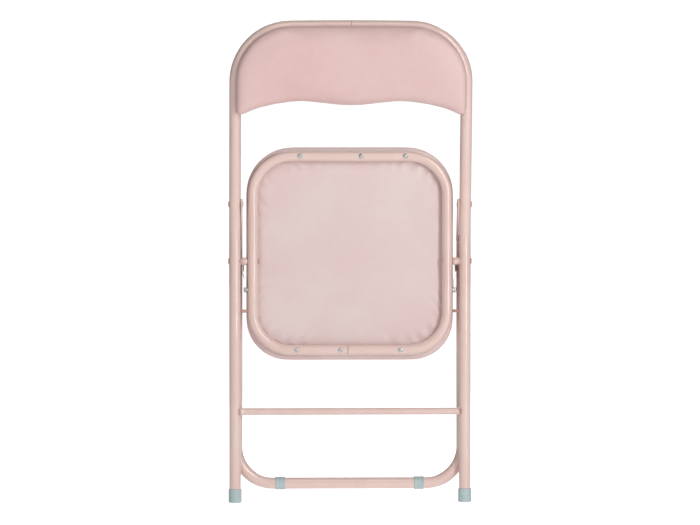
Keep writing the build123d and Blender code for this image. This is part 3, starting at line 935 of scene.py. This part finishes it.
# --- the chair --------------------------------------------------------------------------------
@dataclass
class BackFrame:
    """The inverted U of tube with its crossbar, feet and rivets."""

    tube: float = 10.5 * MM
    leg_x: float = 210.0 * MM
    leg_bottom: float = 3.0 * MM
    bend_z: float = 494.0 * MM
    bend_radius: float = 200.0 * MM
    lean: float = 9.0
    top_run: float = 377.0 * MM
    corner: float = 100.0 * MM
    bow: float = 24.0 * MM
    bow_radius: float = 900.0 * MM
    bar: float = 6.5 * MM
    bar_flare: float = 9.0 * MM
    flare_run: float = 7.0 * MM
    drop: float = 1.5 * MM
    drops: int = 26
    foot: float = 12.0 * MM
    foot_height: float = 25.0 * MM
    ring_low: float = 6.0 * MM
    ring_pitch: float = 6.2 * MM
    ring_depth: float = 0.2 * MM

    def up(self) -> Vector:
        """Give the direction up the leaning backrest frame."""
        angle = math.radians(self.lean)
        return Vector((0, -math.sin(angle), math.cos(angle)))

    def front(self) -> Vector:
        """Give the direction out of the backrest's front."""
        angle = math.radians(self.lean)
        return Vector((0, -math.cos(angle), -math.sin(angle)))

    def path(self) -> list[Vector]:
        """Give the axis of the whole tube, from the left foot to the right foot."""
        corner = Vector((0, LEG_Y, self.bend_z)) + self.up() * self.top_run
        middle = corner - self.front() * self.bow
        right = [Vector((self.leg_x, LEG_Y, self.leg_bottom)), Vector((self.leg_x, LEG_Y, self.bend_z)),
                 Vector((self.leg_x, corner.y, corner.z))]
        left = [Vector((-p.x, p.y, p.z)) for p in right]
        radii = [self.bend_radius, self.corner, self.bow_radius, self.corner, self.bend_radius]
        return rounded_path(left + [middle] + right[::-1], radii)

    def halves(self) -> None:
        """Make the two halves of the tube, which meet in a narrow groove at the top."""
        whole = self.path()
        gap = 0.35 * MM
        for name, side in SIDES.items():
            half = [p for p in whole if p.x * side > 2 * MM]
            half = half if side < 0 else half[::-1]
            top = half[-1]
            run = (top - half[-2]).normalized()
            end = top + run * ((abs(top.x) - gap) / abs(run.x))
            near = end - run * 0.5 * MM
            widths = [1.0] * (len(half) + 1) + [0.93]
            piece = swept_bar(f"back_tube_{name}", half + [near, end], self.tube, PAINT, 48, widths)
            stand_for(piece, "frame", "frame_paint", f"back_frame_tube_{name}")

    def crossbar(self) -> None:
        """Make the crossbar with its flared ends, and the weld beads that hold it."""
        z = sum(p.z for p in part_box("front_crossbar")) / 2
        face = self.leg_x - self.tube + 0.8 * MM
        spread = self.bar_flare / self.bar - 1
        stations = [s * MM for s in (0.0, 1.6, 3.4, 5.2)] + [self.flare_run]
        flare = [(face - s, 1 + spread * (1 - s / self.flare_run) ** 1.7) for s in stations]
        right = sorted(flare)
        left = [(-x, w) for x, w in flare]
        points = left + [(x * MM, 1.0) for x in range(-180, 181, 12)] + right
        path = [Vector((x, LEG_Y, z)) for x, _ in points]
        piece = swept_bar("crossbar", path, self.bar, PAINT, 36, [w for _, w in points])
        stand_for(piece, "frame", "frame_paint", "front_crossbar")
        self.weld_beads(z)

    def weld_beads(self, z: float) -> None:
        """Lay a ring of overlapping weld drops where each end of the crossbar meets its leg."""
        profile = [(0, -0.5 * MM)] + arc_profile((0, 0), self.drop, 0, 90)
        drop = lathe("weld_drop", profile, Vector((0, 0, 1)), Vector((0, 0, 0)), 10)
        reach = self.bar_flare + 0.2 * MM
        places = []
        for side in SIDES.values():
            for k in range(self.drops):
                angle = 2 * math.pi * k / self.drops
                y = reach * math.cos(angle)
                x = self.leg_x - math.sqrt(self.tube ** 2 - y ** 2) - 0.1 * MM
                facing = Vector((-side * 0.7, 0.7 * math.cos(angle), 0.7 * math.sin(angle)))
                places.append((Vector((side * x, LEG_Y + y, z + reach * math.sin(angle))), facing))
        beads = placed_copies("crossbar_welds", drop, places, WELD_PAINT, 80)
        stand_for(beads, "frame", "frame_paint")

    def feet(self) -> None:
        """Make the two soft feet, with shallow rings round them and a rolled lip."""
        r, h = self.foot, self.foot_height
        inner = self.tube
        groove = r - self.ring_depth
        profile = [(0, 0.5 * MM), (6 * MM, 0.5 * MM), (6.6 * MM, 0.0)]
        profile += arc_profile((r - 2 * MM, 2 * MM), 2 * MM, -90, 0)
        for ring in range(3):
            low = self.ring_low + self.ring_pitch * ring
            profile += [(r, low), (groove, low + 0.45 * MM), (groove, low + 0.9 * MM), (r, low + 1.35 * MM)]
        profile += [(r, h - 0.7 * MM), (r - 0.6 * MM, h), (inner, h), (inner, self.leg_bottom),
                    (0, self.leg_bottom)]
        for name, side in SIDES.items():
            origin = Vector((side * self.leg_x, LEG_Y, 0))
            foot = dress(lathe(f"foot_{name}", profile, Vector((0, 0, 1)), origin, 56), FOOT)
            stand_for(foot, "frame", "foot_rubber", f"front_foot_cap_{name}")

    def rivets(self) -> None:
        """Finish the rivets and the spacers beside the seat."""
        for name in SIDES:
            smooth_copy(f"rear_leg_rivet_{name}", RIVET_PAINT, "frame", "painted_rivet", 40)
            smooth_copy(f"seat_pivot_rivet_{name}", RIVET_PAINT, "frame", "painted_rivet", 40)
            smooth_copy(f"seat_pivot_spacer_{name}", PAINT, "frame", "frame_paint", 40)

    def build(self) -> None:
        """Make and dress the whole back frame."""
        self.halves()
        self.crossbar()
        self.feet()
        self.rivets()


@dataclass
class Backrest:
    """The curved padded backrest on the back frame."""

    half: float = 209.2 * MM
    top: float = 378.2 * MM
    corner: float = 99.0 * MM
    tip: float = 218.6 * MM
    shoulder: tuple[float, float] = (160.0 * MM, 232.6 * MM)
    crest: tuple[float, float] = (91.0 * MM, 241.6 * MM)
    dip: float = 234.1 * MM
    sag: float = 16.0 * MM
    chord: float = 210.0 * MM
    back: float = 11.7 * MM
    thickness: float = 24.0 * MM
    support: BackFrame = field(default_factory=BackFrame)

    def lower_edge(self) -> list[tuple[float, float]]:
        """Give the wavy lower edge from left to right, as a smooth line through its few points."""
        right = [(self.half - 10 * MM, self.tip - 0.8 * MM), self.shoulder, self.crest]
        marks = [(-x, s) for x, s in right] + [(0.0, self.dip)] + right[::-1]
        padded = [marks[0], *marks, marks[-1]]
        line = []
        for p0, p1, p2, p3 in zip(padded, padded[1:], padded[2:], padded[3:]):
            for k in range(10):
                t = k / 10
                line.append(tuple(
                    0.5 * (2 * b + (c - a) * t + (2 * a - 5 * b + 4 * c - d) * t * t
                           + (3 * b - a - 3 * c + d) * t ** 3)
                    for a, b, c, d in zip(p0, p1, p2, p3)))
        return line + [marks[-1]]

    def outline(self) -> list[tuple[float, float]]:
        """Give the backrest's outline, anticlockwise from its lower left tip."""
        reach = self.half - self.corner
        rise = self.top - self.corner
        tip_r = 8.0 * MM
        line = arc_points((-self.half + tip_r, self.tip + tip_r), tip_r, 180, 245, 5) + self.lower_edge()
        line += arc_points((self.half - tip_r, self.tip + tip_r), tip_r, 295, 360, 5)
        line += [(self.half, self.tip + (rise - self.tip) * k / 4) for k in range(1, 4)]
        line += arc_points((reach, rise), self.corner, 0, 90, 24)
        line += [(reach - 2 * reach * k / 12, self.top) for k in range(1, 12)]
        line += arc_points((-reach, rise), self.corner, 90, 180, 24)
        line += [(-self.half, rise - (rise - self.tip) * k / 4) for k in range(1, 4)]
        return line

    def place(self, u: float, v: float, d: float) -> Vector:
        """Turn a plan point into the chair's frame, along the backrest's curve."""
        radius = (self.chord ** 2 + self.sag ** 2) / (2 * self.sag)
        sink = math.sqrt(radius ** 2 - u ** 2) - (radius - self.sag)
        start = Vector((u, LEG_Y, self.support.bend_z))
        return start + self.support.up() * v + self.support.front() * (d - sink)

    def build(self) -> None:
        """Make the pad, its bead and the screws behind it."""
        pad = Pad("backrest_pad", self.outline(), self.back, self.thickness, 13 * MM, Vinyl.BACKREST,
                  self.place, side_share=0.45, crown=3.5 * MM, crown_reach=70 * MM, swell=4.5 * MM)
        piece = pad.make()
        welt = pad.welt(piece, 1.2 * MM, 0.9 * MM)
        stand_for(piece, "frame", "vinyl", "backrest_cover", "backrest_foam", "backrest_board",
                  "backrest_back_cover")
        stand_for(welt, "frame", "vinyl")
        smooth_copy("backrest_screws", ZINC, "frame", "zinc")


@dataclass
class RearLegs:
    """The rear leg loop with its flattened ends and its two floor sleeves."""

    tube: float = 10.5 * MM
    sleeve: float = 12.0 * MM
    sleeve_groove: float = 0.35 * MM

    def sleeves(self) -> None:
        """Make the floor sleeves, with raised rings at both ends."""
        for name in SIDES:
            low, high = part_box(f"rear_floor_sleeve_{name}")
            middle = (low + high) / 2
            half = (high.x - low.x) / 2
            r = self.sleeve
            waist = r - self.sleeve_groove
            outer = [(r - 0.6 * MM, -half), (r, -half + 0.6 * MM), (r, -half + 2.2 * MM),
                     (waist, -half + 2.8 * MM), (waist, -1.0 * MM), (r - 0.1 * MM, -0.5 * MM)]
            outer += [(radius, -run) for radius, run in outer[::-1]]
            profile = outer + [(self.tube, half), (self.tube, -half)]
            sleeve = dress(lathe(f"floor_sleeve_{name}", profile, Vector((1, 0, 0)), middle, 56), FOOT)
            stand_for(sleeve, "rear_legs", "foot_rubber", f"rear_floor_sleeve_{name}")

    def build(self) -> None:
        """Make and dress the rear legs."""
        smooth_copy("rear_leg_tube", PAINT, "rear_legs", "frame_paint", 50)
        self.sleeves()


@dataclass
class Seat:
    """The seat's tube loop, pad, screws and pins."""

    tube: float = 9.5 * MM
    half: float = 177.5 * MM
    low: float = 278.5 * MM
    high: float = 632.5 * MM
    corner: float = 70.5 * MM
    seam_x: float = -4.0 * MM
    pad_half: float = 188.6 * MM
    pad_z: tuple[float, float] = (260.6 * MM, 648.2 * MM)
    pad_corner: tuple[float, float] = (84.0 * MM, 75.0 * MM)
    pad_back: float = 9.9 * MM
    pad_thickness: float = 34.5 * MM

    def loop(self) -> None:
        """Make the seat tube, whose two ends meet in a groove in its rear run."""
        gap = 0.3 * MM
        corners = [(-self.half, self.low), (-self.half, self.high), (self.half, self.high),
                   (self.half, self.low)]
        ends = [(self.seam_x - gap, self.low), (self.seam_x + gap, self.low)]
        points = [Vector((x, LEG_Y, z)) for x, z in [ends[0], *corners, ends[1]]]
        path = rounded_path(points, [self.corner] * 4, 3.0)
        shift = Vector((0.5 * MM, 0, 0))
        path = [path[0], path[0] - shift, *path[1:-1], path[-1] + shift, path[-1]]
        widths = [0.93] + [1.0] * (len(path) - 2) + [0.93]
        piece = swept_bar("seat_tube", path, self.tube, PAINT, 44, widths)
        stand_for(piece, "seat", "frame_paint", "seat_frame_tube")

    def outline(self) -> list[tuple[float, float]]:
        """Give the pad's outline, a rounded rectangle, anticlockwise."""
        front, rear = self.pad_corner
        high, low = self.pad_z[1] - front, self.pad_z[0] + rear
        line = []
        for side, z, radius, start in ((1, high, front, 0), (-1, high, front, 90), (-1, low, rear, 180),
                                       (1, low, rear, 270)):
            line += arc_points((side * (self.pad_half - radius), z), radius, start, start + 90, 16)
        even = []
        for (x0, z0), (x1, z1) in zip(line, line[1:] + line[:1]):
            steps = max(1, math.ceil(math.hypot(x1 - x0, z1 - z0) / (12 * MM)))
            even += [(x0 + (x1 - x0) * k / steps, z0 + (z1 - z0) * k / steps) for k in range(steps)]
        return even

    @staticmethod
    def place(u: float, v: float, d: float) -> Vector:
        """Turn a plan point of the folded seat into the chair's frame."""
        return Vector((u, LEG_Y + d, v))

    def pad(self) -> None:
        """Make the padded seat and the bead round its edge."""
        shape = SeatPadShape("seat_pad", self.outline(), self.pad_back, self.pad_thickness, 16 * MM,
                             Vinyl.SEAT, self.place, crown=4.0 * MM, crown_reach=120 * MM,
                             swell=6.0 * MM, side_share=0.4)
        piece = shape.make()
        welt = shape.welt(piece, 2.0 * MM, 0.9 * MM)
        stand_for(piece, "seat", "vinyl", "seat_cover", "seat_underside_cover", "seat_foam", "seat_board")
        stand_for(welt, "seat", "vinyl")

    def screws(self) -> None:
        """Make the six cross-headed screws, each on a thin washer, through the seat tube."""
        head = [(0, 2.5 * MM), (2.2 * MM, 2.4 * MM), (3.1 * MM, 2.0 * MM), (3.7 * MM, 1.2 * MM),
                (3.9 * MM, 0.35 * MM), (4.8 * MM, 0.3 * MM), (4.9 * MM, -0.5 * MM), (0, -0.5 * MM)]
        source = lathe("screw_head", head, Vector((0, 0, 1)), Vector((0, 0, 0)), 40)
        self.cut_cross(source)
        spots = self.screw_spots()
        front = Vector((0, -1, 0))
        places = [(Vector((x, LEG_Y - self.tube + 0.1 * MM, z)), front) for x, z in spots]
        stand_for(placed_copies("seat_screw_heads", source, places, ZINC), "seat", "zinc", "seat_screws")

    def screw_spots(self) -> list[tuple[float, float]]:
        """Read where the screws stand from the CAD node's separate solids."""
        mesh = frame["nodes"]["seat_screws"].data
        heads = [v.co for v in mesh.vertices if v.co.y < LEG_Y - self.tube - 1.0 * MM]
        spots: list[list[Vector]] = []
        for point in heads:
            known = [s for s in spots if (s[0] - point).length < 12 * MM]
            if known:
                known[0].append(point)
            else:
                spots.append([point])
        middles = [sum(s, Vector()) / len(s) for s in spots]
        boxed = [(round(m.x / MM, 1) * MM, round(m.z / MM, 1) * MM) for m in middles]
        return sorted(boxed)

    @staticmethod
    def cut_cross(head: bpy.types.Object) -> None:
        """Sink a cross-shaped driver recess into a screw head."""
        bm = bmesh.new()
        for turn in (0, 90):
            size = Matrix.Diagonal((5.0 * MM, 1.4 * MM, 3.2 * MM, 1))
            raised = Matrix.Translation((0, 0, 2.3 * MM)) @ size
            place = Matrix.Rotation(math.radians(turn), 4, "Z") @ raised
            bmesh.ops.create_cube(bm, size=1.0, matrix=place)
        mesh = bpy.data.meshes.new("driver")
        bm.to_mesh(mesh)
        bm.free()
        driver = mesh_piece("driver", mesh)
        cut = head.modifiers.new("cross", "BOOLEAN")
        cut.operation = "DIFFERENCE"
        cut.solver = "EXACT"
        cut.use_self = True
        cut.object = driver
        settle(head)
        bpy.data.objects.remove(driver)

    def pins(self) -> None:
        """Finish the pins and rivets on the sides of the seat tube."""
        for name in SIDES:
            smooth_copy(f"stop_pin_{name}", RIVET_PAINT, "seat", "zinc", 40)
            smooth_copy(f"link_seat_rivet_{name}", ZINC, "seat", "zinc", 40)

    def build(self) -> None:
        """Make and dress the whole seat."""
        self.loop()
        self.pad()
        self.screws()
        self.pins()


@dataclass
class Links:
    """The two flat links that hold the seat to the rear legs."""

    def build(self) -> None:
        """Finish each link plate and its far rivet."""
        for name in SIDES:
            smooth_copy(f"link_plate_{name}", ZINC, f"link_{name}", "zinc")
            smooth_copy(f"link_rear_rivet_{name}", ZINC, f"link_{name}", "zinc", 40)


def dress_hidden() -> None:
    """Give the nodes that stay inside the tubes their finish."""
    for node in ("back_frame_joint_sleeve", "seat_frame_joint_sleeve"):
        dress(frame["nodes"][node], STEEL)
    for node in ("backrest_board", "seat_board"):
        dress(frame["nodes"][node], BOARD)
    for node in ("backrest_foam", "seat_foam"):
        dress(frame["nodes"][node], FOAM)


@dataclass(frozen=True)
class Softbox:
    """A rectangular soft light that faces the chair."""

    name: str
    place: tuple[float, float, float]
    size: tuple[float, float]
    power: float


SOFTBOXES = (
    Softbox("key", (1.55, -2.6, 1.3), (0.62, 2.4), 42.0),
    Softbox("fill", (-1.7, -2.6, 1.5), (0.8, 1.8), 8.0),
    Softbox("over", (0.2, -2.4, 3.2), (1.4, 0.6), 7.0),
    Softbox("back_light", (0.4, 2.6, 1.9), (1.8, 1.4), 20.0),
)


@dataclass
class Studio:
    """Camera, lights and floor."""

    azimuth: float = -2.5
    elevation: float = 1.6
    distance: float = 8.0
    lens: float = 225.4
    aim: Vector = field(default_factory=lambda: Vector((0.0, LEG_Y, 0.4385)))

    def camera(self) -> None:
        """Set the camera at the front, level with the middle of the chair."""
        a, e = math.radians(self.azimuth), math.radians(self.elevation)
        away = Vector((math.sin(a) * math.cos(e), -math.cos(a) * math.cos(e), math.sin(e)))
        data = bpy.data.cameras.new("camera")
        data.lens = self.lens
        data.sensor_width = 36.0
        data.clip_end = 60.0
        camera = bpy.data.objects.new("camera", data)
        camera.location = self.aim + away * self.distance
        camera.rotation_euler = (-away).to_track_quat("-Z", "Y").to_euler()
        bpy.context.scene.collection.objects.link(camera)
        bpy.context.scene.camera = camera

    def hang(self, softbox: Softbox) -> None:
        """Hang a soft light so that it faces the chair."""
        data = bpy.data.lights.new(softbox.name, "AREA")
        data.shape = "RECTANGLE"
        data.size, data.size_y = softbox.size
        data.energy = softbox.power
        light = bpy.data.objects.new(softbox.name, data)
        light.location = softbox.place
        light.rotation_euler = (self.aim - light.location).to_track_quat("-Z", "Y").to_euler()
        bpy.context.scene.collection.objects.link(light)

    def world(self) -> None:
        """Show the camera a white room, and light the chair with a softer glow from the front."""
        world = bpy.data.worlds.new("white_room")
        world.use_nodes = True
        bpy.context.scene.world = world
        sheet = NodeSheet(world.node_tree)
        back = world.node_tree.nodes["Background"]
        ways = sheet.add("ShaderNodeTexCoord").outputs["Generated"]
        way = sheet.add("ShaderNodeSeparateXYZ", Vector=ways)
        sideways = sheet.math("ABSOLUTE", way.outputs["X"])
        glow = sheet.spread(sideways, 0.9, 0.3)
        front = sheet.spread(way.outputs["Y"], 0.25, -0.35)
        glow = sheet.math("MULTIPLY", glow, front)
        room = sheet.math("MULTIPLY_ADD", glow, 0.4, 0.05)
        seen = sheet.add("ShaderNodeLightPath").outputs["Is Camera Ray"]
        strength = sheet.math("MAXIMUM", room, sheet.math("MULTIPLY", seen, 1.05))
        back.inputs["Color"].default_value = (1.0, 1.0, 1.0, 1.0)
        sheet.plug(back.inputs["Strength"], strength)

    def floor(self) -> None:
        """Lay a wide pale floor."""
        floor = lathe("floor", [(0, 0.0), (12.0, 0.0), (12.0, -0.02), (0, -0.02)], Vector((0, 0, 1)),
                      Vector((0, 0, 0)), 64)
        made = bpy.data.materials.new("pale_floor")
        made.use_nodes = True
        sheet = NodeSheet(made.node_tree)
        shader = made.node_tree.nodes["Principled BSDF"]
        shader.inputs["Roughness"].default_value = 0.85
        shader.inputs["Specular IOR Level"].default_value = 0.1
        shader.inputs["Emission Color"].default_value = (1.0, 1.0, 1.0, 1.0)
        seen = sheet.add("ShaderNodeLightPath").outputs["Is Camera Ray"]
        glow = sheet.math("MULTIPLY_ADD", seen, 0.6, 0.35)
        sheet.plug(shader.inputs["Emission Strength"], glow)
        place = sheet.place()
        cloud = sheet.add("ShaderNodeTexNoise", Vector=place, Scale=1.5, Detail=3.0)
        tone = sheet.mix(cloud.outputs[0], srgb("FAFAFA"), srgb("F4F4F4"))
        sheet.plug(shader.inputs["Base Color"], tone)
        floor.data.materials.append(made)

    def build(self) -> None:
        """Set up the whole studio."""
        self.camera()
        self.world()
        for softbox in SOFTBOXES:
            self.hang(softbox)
        self.floor()
        scene = bpy.context.scene
        scene.view_settings.view_transform = "Standard"
        scene.view_settings.look = "None"


def main() -> None:
    """Build the studio and every sub-assembly, and report what was made."""
    logging.basicConfig(level=logging.INFO, format="%(name)s: %(message)s")
    Studio().build()
    for part in (BackFrame(), Backrest(), RearLegs(), Seat(), Links()):
        part.build()
        LOG.info("%s is finished", type(part).__name__)
    dress_hidden()


if __name__ == "__main__":
    main()
